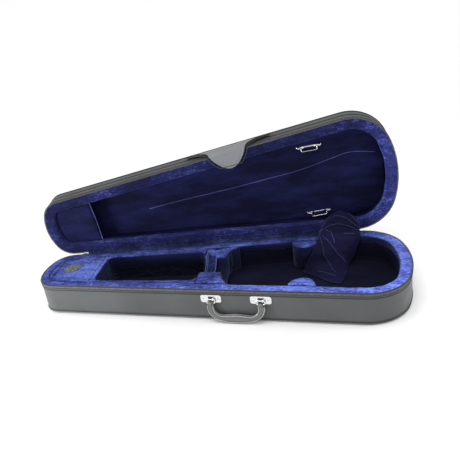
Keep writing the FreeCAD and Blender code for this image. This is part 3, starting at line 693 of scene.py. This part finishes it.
def swell(obj, cap):
    """Puff the mesh up as cloth under pressure, moving no point further than cap millimetres."""
    rest = np.array([v.co for v in obj.data.vertices])
    cloth = obj.modifiers.new("puff", "CLOTH")
    cloth.settings.quality = 5
    cloth.settings.use_pressure = True
    cloth.settings.uniform_pressure_force = 4.0
    cloth.settings.effector_weights.gravity = 0
    cloth.collision_settings.use_collision = False
    cloth.point_cache.frame_end = 14
    for step in range(1, 15):
        bpy.context.scene.frame_set(step)
    applied(obj)
    bpy.context.scene.frame_set(1)
    moved = np.array([v.co for v in obj.data.vertices]) - rest
    far = np.linalg.norm(moved, axis=1, keepdims=True)
    moved *= np.minimum(1.0, cap * MM / np.maximum(far, 1e-9))
    obj.data.vertices.foreach_set("co", (rest + moved).ravel())
    obj.data.update()


def crush_mesh(obj, scale, amount, ceiling):
    """Uneven the surface along its normals and hold it under a ceiling, all in millimetres."""
    obj.data.update()
    normals = [v.normal.copy() for v in obj.data.vertices]
    for v, n in zip(obj.data.vertices, normals):
        spot = v.co / MM
        push = crush(spot, scale, amount) + crush(spot, scale / 3, amount * 0.5)
        v.co += n * (min(push, amount * 0.6) * MM)
        v.co.z = min(v.co.z, ceiling * MM)
    obj.data.update()


def plush_block(name, node, voxel=2.6, smooth=7, cap=2.5, amount=0.9):
    obj = soft_copy(name, node, voxel, smooth)
    swell(obj, cap)
    crush_mesh(obj, 16, amount, RIM_Z - CROWN_GAP)
    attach(obj, "base")
    stand_in(obj, "blue_plush", node, fill=0.8)


def base_blocks():
    plush_block("neck_cradle_plush", "neck_cradle")
    plush_block("front_waist_plush", "front_waist_pad", 2.2)
    plush_block("back_waist_plush", "back_waist_pad", 2.2)
    plush_block("accessory_box_plush", "accessory_box", 1.6, 4, 0.6, 0.4)


def compartment_walls():
    """Front and back plush walls of the scroll compartment, with rounded upright corners."""
    low, top, r = FLOOR_PAD_TOP + 0.2, RIM_Z - CROWN_GAP - 0.7, 14.0
    left, right = BOX_RIGHT_X + 0.3, -36.3
    for name, node, sign in (("front", "front_compartment_pad", -1), ("back", "back_compartment_pad", 1)):
        inner = []
        for k in range(9):
            t = math.pi / 2 * k / 8
            inner.append((left + r - r * math.cos(t), 51 - r + r * math.sin(t)))
        for k in range(1, 20):
            x = left + r + (right - left - 2 * r) * k / 20
            inner.append((x, 51 + 9 * (x - left) / (right - left)))
        for k in range(9):
            t = math.pi / 2 * k / 8
            inner.append((right - r + r * math.sin(t), 60 - r + r * math.cos(t)))
        rings = []
        for x, y in inner:
            uneven = crush(Vector((x, y * sign, 3)), 18, 0.7)
            y += uneven
            reach = max(half_width(x, PLUSH_IN - 0.4), y + 0.8)
            lean = Vector((0, sign, 0))
            spot = Vector((x, y * sign, 0))
            far = Vector((x, reach * sign, 0))
            dip = min(0.0, uneven)
            section = [
                spot + Z * low, spot + Z * (top - 3.2), spot + lean * 0.5 + Z * (top - 1.2),
                spot + lean * 1.6 + Z * (top - 0.3 + dip * 0.4), spot.lerp(far, 0.6) + Z * (top + dip * 0.3),
                far + Z * (top - 0.2), far + Z * low,
            ]
            rings.append(section)
        obj = make_piece(name + "_compartment_plush", *loft(rings), "blue_plush", "base")
        stand_in(obj, "blue_plush", node, fill=0.8)


def accessory_cover():
    """Padded lid of the accessory box."""
    obj = soft_copy("accessory_lid_plush", "accessory_lid", 1.5, 5)
    crush_mesh(obj, 15, 0.5, 69.3)
    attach(obj, "accessory_cover")
    stand_in(obj, "blue_plush", "accessory_lid", fill=0.5)


# ---------------- zipper and hinge

def zipper_teeth(name, node, place, height, body):
    """Small coils round the rim, apart from the stretch along the hinge."""
    parts = []
    for p, n in outline(2.6):
        if n.dot(SIDE_OUT) > 0.9999 and HINGE_FROM - 3 < p.dot(SIDE) < HINGE_TO + 3:
            continue
        parts.append(block(p + n * 0.75 + Z * (height - 1.1), n.cross(Z), n, Z, (1.5, 1.3, 1.5)))
    points, faces = gather(parts)
    obj = make_piece(name, [place(p) for p in points], faces, "zipper_teeth", body)
    stand_in(obj, "zipper_teeth", node)


def spaced(path, pitch):
    """(spot, direction) at every pitch along a path."""
    run = 0.0
    for a, b in zip(path, path[1:]):
        span = (b - a).length
        while run < span:
            yield a.lerp(b, run / span), (b - a).normalized()
            run += pitch
        run -= span


def stitches(path, length, gap, thick, lift):
    """Short threads lying along a path. lift is a unit vector out of the surface."""
    return gather([block(spot + lift * thick * 0.3, ahead, lift.cross(ahead), lift, (length, thick, thick))
                   for spot, ahead in spaced(path, length + gap)])


def hinge_fabric():
    """The outer strip and the lining strip over the hinge, shaped for the open lid."""
    def strip(name, line, node, slot_name, start, end, thick, look):
        rings = []
        count = 146
        for i in range(count + 1):
            s = HINGE_FROM + (HINGE_TO - HINGE_FROM) * i / count
            upper = [on_back(s, y, z) for y, z in line]
            ends = [upper[0]] + upper + [upper[-1]]
            other = [p + (b - a).cross(SIDE).normalized() * thick for a, p, b in zip(ends, upper, ends[2:])]
            rings.append(upper + other[::-1])
        obj = make_piece(name, *loft(rings), look, None)
        on_back(0, *start) * MM
        on_back(0, *end) * MM
        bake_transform(obj)
        stand_in(obj, slot_name, node)

    def lid_leg(inset, up):
        """A spot on the open lid: inset from its edge, up past the rim plane."""
        p = opened(on_back(0, -inset, RIM_Z + up))
        q = p - Vector((0, HALF_WIDTH_MID, 0))
        return q.dot(SIDE_OUT), q.z

    outer = [(0.7, z) for z in (63.4, 65.5, 67.6, 69.2)]
    outer += [(0.9, 70.2), (1.5, 71.0)] + [lid_leg(-0.7, z) for z in (0.8, 2.2, 4.2, 6.6)]
    strip("hinge_cover_strip", outer, "hinge_strip", "outer_leatherette", (0.5, 69.6), (2.8, 71.4), 0.5,
          "outer_leatherette")
    inner = [(y, 70.18) for y in (-8.5, -6.5, -4.5, -2.6)] + [(-0.9, 70.6), (0.6, 71.7)]
    inner += [lid_leg(z, 0.28) for z in (1.9, 3.5, 5.5, 8.0)]
    # painted shade: the lining strip takes the darkened copy of the plush
    strip("hinge_lining_fabric", inner, "hinge_lining_strip", "blue_plush", (-1.6, 70.4), (1.9, 73.6), 0.25,
          "hinge_plush")


def seams():
    """Sewn joins round the side covers: a sunken dark cord, and a row of stitches beside it. The cord's
    near-black is partly the join's own colour and partly painted shade in its groove.
    """
    def cord(name, out, height, place, body, radius):
        path = [place(p + n * out + Z * height) for p, n in outline(5.0)]
        make_piece(name, *tube(path, radius, True, 6), "seam", body, "outer_leatherette")

    def sewn(name, height, place, body):
        points, faces = gather([block(p + n * 0.12 + Z * height, n.cross(Z), n, Z, (2.1, 0.5, 0.55))
                                for p, n in outline(3.1)])
        make_piece(name, [place(p) for p in points], faces, "thread", body, "outer_leatherette", False)

    cord("base_bottom_seam", 0.25, 5.4, in_base, "base", 1.1)
    sewn("base_bottom_stitches", 8.2, in_base, "base")
    sewn("base_rim_stitches", RIM_Z - 13.4, in_base, "base")
    cord("lid_edge_seam", 0.25, 5.4, in_lid, "lid", 1.1)
    cord("lid_side_seam", 0.1, LID_HEIGHT - 25, in_lid, "lid", 0.9)
    cord("base_rim_seam", 0.05, RIM_Z - 12.2, in_base, "base", 0.6)
    sewn("lid_side_stitches", LID_HEIGHT - 22, in_lid, "lid")
    sewn("lid_edge_stitches", 9.0, in_lid, "lid")


# ---------------- handle

def hang(s, out, drop):
    """A spot on the handle: along the front, out of its own plane, and down from the pivot."""
    y = -math.sin(HANDLE_REST) * drop - math.cos(HANDLE_REST) * out - PIVOT_OUT
    z = PIVOT_Z - math.cos(HANDLE_REST) * drop + math.sin(HANDLE_REST) * out
    return on_front(HANDLE_S + s, y, z)


def grip_line():
    """(s, drop, half width, half thickness) along the middle of the grip."""
    stops = [
        Vector((-51.6, 12.0, 6.4, 2.8)), Vector((-51.4, 19.0, 6.4, 3.0)), Vector((-49.0, 27.0, 5.9, 3.3)),
        Vector((-42.8, 34.2, 5.2, 3.6)), Vector((-32.0, 39.0, 4.8, 3.9)), Vector((-17.0, 40.3, 7.2, 4.3)),
        Vector((0.0, 40.0, 8.5, 4.5)),
    ]
    mirrored = [Vector((-p[0], p[1], p[2], p[3])) for p in stops[:-1]]
    return through(stops + mirrored[::-1], 8)


def grip():
    """Padded leather grip with a piped and stitched edge at each of its four corners."""
    line = grip_line()
    rings, edges, sewn = [], {}, {}
    steps = 24
    for i, spot in enumerate(line):
        before = line[max(0, i - 1)]
        after = line[min(len(line) - 1, i + 1)]
        ahead = Vector((after[0] - before[0], after[1] - before[1])).normalized()
        side = Vector((-ahead.y, ahead.x))

        def at(u, w):
            return hang(spot[0] + side.x * u, w, spot[1] + side.y * u)

        ring = []
        for k in range(steps):
            t = 2 * math.pi * k / steps
            u = math.copysign(abs(math.cos(t)) ** 0.6, math.cos(t)) * spot[2]
            w = math.copysign(abs(math.sin(t)) ** 0.7, math.sin(t)) * spot[3]
            ring.append(at(u, w))
        rings.append(ring)
        for a in (-1, 1):
            for b in (-1, 1):
                wide, thick = a * spot[2], b * spot[3]
                edges.setdefault((a, b), []).append(at(wide * 0.88, thick * 0.78))
                sewn.setdefault((a, b), []).append(at(wide * 0.45, thick * 0.97))
    obj = make_piece("handle_grip_padding", *loft(rings), "handle_leatherette", "handle")
    stand_in(obj, "handle_leatherette", "handle_grip", fill=0.9)
    cords = [tube(path, 0.8) for path in edges.values()]
    make_piece("handle_grip_piping", *gather(cords), "handle_piping", "handle", "handle_leatherette")
    out = (hang(0, 1, 0) - hang(0, 0, 0)).normalized()
    rows = [stitches(path, 2.0, 1.1, 0.5, out * key[1]) for key, path in sewn.items()]
    make_piece("handle_grip_stitching", *gather(rows), "thread", "handle", "handle_leatherette", False)


def end_loops():
    """Leather at each end of the grip that goes up, round the ring's lower bar, and down again."""
    bar_drop, loop_end, half = 7.5, 15.5, 5.4
    loops = []
    for sign in (-1, 1):
        middle = sign * (PLATE_PITCH / 2)
        turns = [math.pi * k / 14 for k in range(15)]
        path = [(2.7, loop_end)]
        path += [(math.cos(t) * 2.7, bar_drop - math.sin(t) * 2.5) for t in turns]
        path += [(-2.7, loop_end)]
        rings = []
        for out_by, drop in path:
            wrap = drop < loop_end
            inner_out = out_by * (0.68 if wrap else 0.4)
            inner_drop = bar_drop + (drop - bar_drop) * 0.68 if wrap else drop
            corners = [(-half, out_by, drop), (half, out_by, drop), (half, inner_out, inner_drop),
                       (-half, inner_out, inner_drop)]
            rings.append([hang(middle + s, out, down) for s, out, down in corners])
        loops.append(loft(rings))
    make_piece("handle_end_loops", *gather(loops), "handle_leatherette", "handle", "handle_leatherette")


# ---------------- closure flap

PLUMB = SIDE_OUT * math.sin(LID_OPEN) - Z * math.cos(LID_OPEN)      # world down, turned back with the lid
FLAP_TURN = math.atan2(PLUMB.dot(FRONT_IN), -PLUMB.z)
FLAP_MID = -(FLAP_OUT + FLAP_IN) / 2      # middle of the leather's thickness
FLAP_BEND_R = 2.0
FLAP_SEAM_IN = 5.2
WING_TOP = 41.0               # up the lid from the bend


def flap_spot(s, u, out):
    """A spot on the flap: s across, u down its length from the bend, out from the middle of its thickness."""
    turn = min(FLAP_TURN, max(0.0, (u + FLAP_BEND_R) / FLAP_BEND_R))
    past = max(0.0, u + FLAP_BEND_R * (1 - FLAP_TURN))
    if turn:
        y = FLAP_MID + FLAP_BEND_R * (1 - math.cos(turn)) + past * math.sin(turn)
        z = FLAP_AXIS_Z + FLAP_BEND_R * (1 - math.sin(turn)) - past * math.cos(turn)
    else:
        z = FLAP_AXIS_Z - u
        y = float(np.interp(z, [92, 106, 107.2], [FLAP_MID, -1.9, -0.9]))
    return opened(on_front(FLAP_S + s, y - math.cos(turn) * out, z - math.sin(turn) * out))


def wing_curl(u):
    """How far the wing's edge stands up, from nothing at the bend and at its top."""
    return 2.6 * min(1.0, max(0.0, -2 - u) / 8) * min(1.0, (u + WING_TOP) / 6)


def flap_edge():
    """Right-hand edge of the flap from the wing's top, round its tip and the waist, to the tongue's tip."""
    wing = [(88, -40.4), (92.5, -39), (94, -36.6), (93.4, -33.6), (88, -31.4), (80, -29), (70, -25.8),
            (61, -21.6), (53, -16.6), (47, -11.4), (43, -6.6), (40.6, -2.5)]
    tongue = [(39, 0.6), (37.6, 4), (35, 9.2), (31, 15), (26.6, 20.4), (21.4, 25.8), (15.6, 30.6),
              (8.4, 34.6), (0, 36.4)]
    return through([Vector(spot) for spot in wing + tongue], 4)


def flap_row(half, u, tip):
    """One row across the flap: rounded edges, a sunken seam 5 mm in, and wings that curl up a little."""
    scale = min(1.0, half / 13)
    near_edge = [half - gap * scale for gap in (0, 0.4, 1.1, 2.2, 3.4, 4.3, 5.2, 6.1, 7.2, 9)]
    inner = [near_edge[-1] * k / 9 for k in range(8, 0, -1)]
    across = near_edge + inner
    across = [-q for q in across] + [0.0] + across[::-1]
    upper, lower = [], []
    for q in across:
        near = min(half - abs(q), max(0.0, tip - u))
        round_off = 0.8 * max(0.0, 1 - near / 2.0) ** 2
        seam = 0.75 * math.exp(-((near - FLAP_SEAM_IN) / 1.1) ** 2)
        curl = wing_curl(u) * max(0.0, 1 - near / 11) ** 2
        grain = crush(Vector((q, u, 7)), 26, 0.2)
        upper.append(flap_spot(q, u, 1.5 - round_off - seam + curl + grain))
        lower.append(flap_spot(q, u, -1.6 + round_off + curl))
    return upper + lower[::-1]


def flap():
    """One padded leather piece: wings sewn along the lid's edge, and a tongue that hangs from them."""
    edge = flap_edge()
    tip = edge[-1].y
    rings = [flap_row(max(spot.x, 0.6), spot.y, tip) for spot in edge]
    slot = "flap_leatherette"
    leather = make_piece("flap_leather", *loft(rings), "flap_leatherette", None, slot)
    thread_l, thread_gap = 2.4, 0.8
    sewn, shade_cords = [], []
    for sign in (-1, 1):
        line = []
        for a, b in zip(edge[8:], edge[9:]):
            ahead = (b - a).normalized()
            spot = a.lerp(b, 0.5) + Vector((ahead.y, -ahead.x)) * FLAP_SEAM_IN
            if spot.x > 0 and spot.y < tip - FLAP_SEAM_IN:
                line.append(Vector((spot.x * sign, spot.y)))
        line.append(Vector((0, tip - FLAP_SEAM_IN)))
        for spot, way in spaced(line, thread_l + thread_gap):
            start, finish = (flap_spot(q.x, q.y, 1.25) for q in (spot, spot + way * thread_l))
            lift = (flap_spot(spot.x, spot.y, 2.25) - start).normalized()
            ahead = (finish - start).normalized()
            size = (thread_l, 1.5, 0.7)
            sewn.append(block(start.lerp(finish, 0.5), ahead, lift.cross(ahead), lift, size))
        # painted shade: a near-black cord along each wing's edge stands for the shade under the curled wing
        path = [flap_spot(sign * (spot.x - 0.2), spot.y, wing_curl(spot.y) - 0.1) for spot in edge
                if -WING_TOP < spot.y < -3]
        shade_cords.append(tube(path, 1.35))
    stitching = make_piece("flap_stitching", *gather(sewn), "thread", None, slot, False)
    wing_shade_piece = make_piece("flap_wing_shade_cords", *gather(shade_cords), "seam", None, slot)
    for obj in (leather, stitching, wing_shade_piece):
        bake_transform(obj)
    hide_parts("flap_root", "closure_flap")


# ---------------- blanket

def fold_gap(fold, u, v):
    """Distance from a spot on the cloth to a fold line, both in shares of its width and length."""
    gap = 9.0
    spot = Vector((u, v * 2))
    for (u0, v0), (u1, v1) in zip(fold, fold[1:]):
        start = Vector((u0, v0 * 2))
        line = Vector((u1, v1 * 2)) - start
        t = min(1.0, max(0.0, (spot - start).dot(line) / line.length_squared))
        gap = min(gap, (spot - start - line * t).length)
    return gap


def blanket():
    """Velvet cloth: bunched on the lid's lower rim, over the back rim, and down to the floor of the case."""
    rows = [
        [(228, 10, 95), (241, 13, 104), (262, 15, 110), (282, 15, 106), (300, 10, 95)],
        [(220, 2, 92), (236, 4, 101), (256, 6, 109), (279, 7, 106), (301, 4, 94)],
        [(214, -5, 84), (230, -7, 93), (253, -8, 98), (280, -8, 93), (301, -7, 85)],
        [(212, -12, 76.5), (229, -14, 85), (252, -15, 88), (280, -13, 83), (301, -11, 76)],
        [(211, -22, 73), (229, -25, 77), (250, -26, 80), (278, -26, 77), (301, -21, 73)],
        [(203, -43, 66), (224, -41, 65), (248, -39, 63), (274, -36, 60), (295, -28, 56)],
        [(192.5, -55, 53), (214, -54, 50), (240, -50, 44), (264, -46, 38), (281, -37, 27)],
        [(182.3, -60, 35), (206, -62, 32), (232, -62, 27), (256, -60, 21), (268, -55, 17)],
        [(172.5, -64, 17), (196, -80, 18), (226, -94, 17.5), (248, -90, 16.5), (261, -80, 15.3)],
        [(172, -69, 15), (198, -92, 15.3), (224, -118, 15.3), (241, -125, 15.3), (251, -111, 15)],
    ]
    across, along = 12, 8
    lines = [through([Vector(spot) for spot in row], across) for row in rows]
    columns = [through([line[j] for line in lines], along) for j in range(len(lines[0]))]
    width, height = len(columns) - 1, len(columns[0]) - 1
    folds = [
        [(0.02, 0.42), (0.14, 0.55), (0.32, 0.70), (0.60, 0.87)],
        [(0.10, 0.44), (0.30, 0.53), (0.56, 0.66), (0.84, 0.76)],
        [(0.02, 0.40), (0.14, 0.30), (0.42, 0.25), (0.70, 0.27), (0.98, 0.37)],
        [(0.03, 0.33), (0.22, 0.17), (0.45, 0.13), (0.72, 0.17), (0.97, 0.27)],
        [(0.10, 0.22), (0.28, 0.07), (0.50, 0.03), (0.75, 0.08), (0.96, 0.18)],
        [(0.22, 0.33), (0.36, 0.42), (0.44, 0.55)],
        [(0.62, 0.45), (0.86, 0.44)],
        [(0.30, 0.87), (0.62, 0.90)],
    ]
    points = []
    for i, column in enumerate(columns):
        for j, spot in enumerate(column):
            u, v = i / width, j / height
            left = columns[max(0, i - 1)][j]
            right = columns[min(width, i + 1)][j]
            above = column[max(0, j - 1)]
            below = column[min(height, j + 1)]
            normal = (below - above).cross(right - left).normalized()
            lift = 0.0
            for fold in folds:
                lift = max(lift, 2.8 * math.exp(-(fold_gap(fold, u, v) / 0.04) ** 2))
            pleat = math.exp(-((u / 0.22) ** 2 + ((v - 0.42) / 0.09) ** 2)) * math.sin(v * 150) * 1.4
            lift += pleat + crush(spot, 24, 1.6) + crush(spot, 9, 0.6)
            lift *= min(1.0, 0.25 + 4 * (1 - v)) if v > 0.9 else 1.0
            moved = spot + normal * lift
            moved.z = max(moved.z, FLOOR_PAD_TOP + 1.2)
            points.append(on_back(*moved))

    def cell(i, j):
        return i * (height + 1) + j

    faces = [(cell(i, j), cell(i, j + 1), cell(i + 1, j + 1), cell(i + 1, j))
             for i in range(width) for j in range(height)]
    cloth = make_piece("blanket_velvet", points, faces, "blanket_velvet", None)
    solid = cloth.modifiers.new("thick", "SOLIDIFY")
    solid.thickness = 1.1 * MM
    solid.offset = 0
    applied(cloth)
    rim = [cell(0, j) for j in range(height)] + [cell(i, height) for i in range(width)]
    rim += [cell(width, j) for j in range(height, 0, -1)] + [cell(i, 0) for i in range(width, 0, -1)]
    # painted highlight: a light cord round the cloth's edge
    edge = tube([points[k] for k in rim], 0.6, True, 6)
    hem = make_piece("blanket_hem", *edge, "blanket_hem", None)
    # painted highlight: thin light cords along the fold ridges
    ridges = []
    above = SIDE_OUT * -0.35 + Z * 0.45
    for fold in folds:
        path = []
        for spot in through([Vector(spot) for spot in fold], 8):
            i = min(width, max(0, round(spot.x * width)))
            j = min(height, max(0, round(spot.y * height)))
            path.append(points[cell(i, j)])
        path = [p for p, q in zip(path, path[1:]) if (q - p).length > 0.5] + [path[-1]]
        middle = [(p + q * 2 + r) / 4 for p, q, r in zip(path, path[1:], path[2:])]
        ridges.append(tube([p + above for p in [path[0]] + middle + [path[-1]]], 0.4, False, 6))
    creases = make_piece("blanket_crease_highlights", *gather(ridges), "velvet_edge", None)
    for obj in (cloth, hem, creases):
        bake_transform(obj)
    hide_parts("instrument_blanket")


# ---------------- bow clips and small fittings

CLIP_X = 221.0
CLIP_YS = {"upper": -72.0, "lower": 87.0}
CLIP_HALF = 22.5


def turned(profile, foot, axis):
    """Solid of revolution from (radius, height) pairs."""
    u = axis.orthogonal().normalized()
    return loft([circle(foot + axis * height, u, axis.cross(u), radius, 24) for radius, height in profile])


def bow_clips():
    """Each clip: a slim pressed strip with a turned eyelet post at each end."""
    floor = LID_HEIGHT - LINING_DEPTH
    reach, half = CLIP_HALF + 4.5, 2.6
    profile = [(3.2, 0.9), (3.2, 1.6), (2.0, 2.2), (2.0, 3.0), (2.7, 3.5), (2.9, 4.6), (2.7, 5.7), (1.7, 6.4),
               (0.4, 6.8)]
    axis = (in_lid(Z) - in_lid(Z * 0)).normalized()
    for name, y in CLIP_YS.items():
        ends = []
        for k in range(24):
            t = 2 * math.pi * k / 24
            side = 1 if math.cos(t) >= 0 else -1
            waist = half * (1 if abs(math.cos(t)) > 0.3 else 0.7)
            ends.append((side * (reach - half) + math.cos(t) * half, math.sin(t) * waist))
        rings = []
        for height, shrink in ((0.05, 0.0), (1.0, 0.0), (1.3, 0.35)):
            long, wide = 1 - shrink / reach, 1 - shrink / half
            rings.append([in_lid(Vector((CLIP_X + a * long, y + b * wide, floor + height))) for a, b in ends])
        strip = make_piece(name + "_bow_clip_strip", *loft(rings), "clip_chrome", "lid")
        feet = [in_lid(Vector((CLIP_X + side * CLIP_HALF, y, floor))) for side in (-1, 1)]
        turnings = [turned(profile, foot, axis) for foot in feet]
        make_piece(name + "_bow_clip_eyelets", *gather(turnings), "chrome", "lid", "chrome")
        stand_in(strip, "chrome", name + "_bow_clip_plate")


def neck_ribbon():
    """Plush ribbon that lies on the cradle, sags across the saddle, and has a light edge on each side:
    painted shade on the plush, painted highlight on the edges.
    """
    x0, x1, half, thick = -30.0, -8.0, 29.2, 1.3
    top = RIM_Z - CROWN_GAP - thick
    line = [(56.0, top), (52, top), (46, top), (40, top), (34, top), (31, top - 0.2), (29.6, top - 1.2)]
    for i in range(33):
        t = 1 - i / 16
        line.append((half * t, 51.3 + 15.0 * t * t))
    columns = 10
    cord_radii = {0.0: 0.6, 0.16: 0.45, 1.0: 0.85}                # by share of the ribbon's width
    lines = {q: [] for q in cord_radii}
    rings = []
    for y, z in line:
        t = y / half
        upper, lower = [], []
        for j in range(columns + 1):
            q = j / columns
            sag = max(0.0, 0.7 * math.sin(math.pi * q) * (1 - t * t)) + 0.2 * math.sin(q * 19 + t * 5)
            p = Vector((x0 + (x1 - x0) * q, y, z - abs(sag)))
            upper.append(p + Z * thick)
            lower.append(p)
        for q in lines:
            lines[q].append(Vector((x0 + (x1 - x0) * q, y, z + thick - 0.2)))
        rings.append(upper + lower[::-1])
    ribbon = make_piece("neck_strap_ribbon", *loft(rings), "strap_plush", "base")
    stand_in(ribbon, "blue_plush", "neck_strap")
    # painted highlight: light cords along the ribbon and across its end
    cords = [tube(lines[q], radius, False, 6) for q, radius in cord_radii.items()]
    cords.append(tube([lines[0.0][0], lines[1.0][0]], 0.7, False, 6))
    make_piece("neck_strap_edges", *gather(cords), "strap_edge", "base", "blue_plush")


# ---------------- scene

def camera():
    place = Vector((247.05, -1004.65, 631.82)) * MM
    yaw, pitch, roll = -0.2064, 0.4401, 0.1352
    ahead = Vector((math.sin(yaw) * math.cos(pitch), math.cos(yaw) * math.cos(pitch), -math.sin(pitch)))
    right = Vector((math.cos(yaw), -math.sin(yaw), 0))
    down = ahead.cross(right)
    rolled_right = right * math.cos(roll) + down * math.sin(roll)
    rolled_down = down * math.cos(roll) - right * math.sin(roll)
    turn = Matrix((rolled_right, -rolled_down, -ahead)).transposed()
    data = bpy.data.cameras.new("camera")
    data.lens = 43.38
    data.sensor_width = 36.0
    obj = placed("camera", data)
    obj.matrix_world = Matrix.Translation(place) @ turn.to_4x4()
    bpy.context.scene.camera = obj


def area_light(name, place, aim, size, power):
    data = bpy.data.lights.new(name, "AREA")
    data.shape = "RECTANGLE"
    data.size, data.size_y = size
    data.energy = power
    obj = placed(name, data)
    obj.location = place
    obj.rotation_euler = (Vector(aim) - Vector(place)).to_track_quat("-Z", "Y").to_euler()
    obj.visible_camera = False


def studio():
    world = bpy.data.worlds.new("studio")
    world.use_nodes = True
    background = world.node_tree.nodes["Background"]
    background.inputs["Color"].default_value = (1, 1, 1, 1)
    background.inputs["Strength"].default_value = 0.62
    bpy.context.scene.world = world
    bpy.context.scene.view_settings.view_transform = "Standard"
    sun = bpy.data.lights.new("overhead", "SUN")
    sun.energy = 1.4
    sun.angle = math.radians(50)
    placed("overhead", sun).rotation_euler = (math.radians(8), math.radians(-6), 0)
    area_light("left", (-0.85, -0.55, 0.13), (-0.2, -0.1, 0.04), (0.35, 0.12), 5.5)
    area_light("right", (1.2, -0.1, 0.3), (0.4, 0, 0.05), (0.4, 0.3), 3)
    reach = 300.0
    mesh = bpy.data.meshes.new("floor")
    mesh.from_pydata([(reach * x, reach * y, 0) for x, y in ((-1, -1), (1, -1), (1, 1), (-1, 1))], [],
                     [(0, 1, 2, 3)])
    mesh.materials.append(Look("pale_floor", (0.97, 0.97, 0.97), 0.8).material)
    floor = placed("floor", mesh)
    floor.location.z = -0.0004


finish_nodes()
base_padding()
lid_padding()
lid_lining()
pocket()
floor_lining()
base_blocks()
compartment_walls()
accessory_cover()
zipper_teeth("base_zipper_coil", "base_zipper_teeth", in_base, RIM_Z - 0.3, "base")
zipper_teeth("lid_zipper_coil", "lid_zipper_teeth", in_lid, LID_HEIGHT - 0.3, "lid")
hinge_fabric()
seams()
grip()
end_loops()
flap()
blanket()
bow_clips()
neck_ribbon()
camera()
studio()
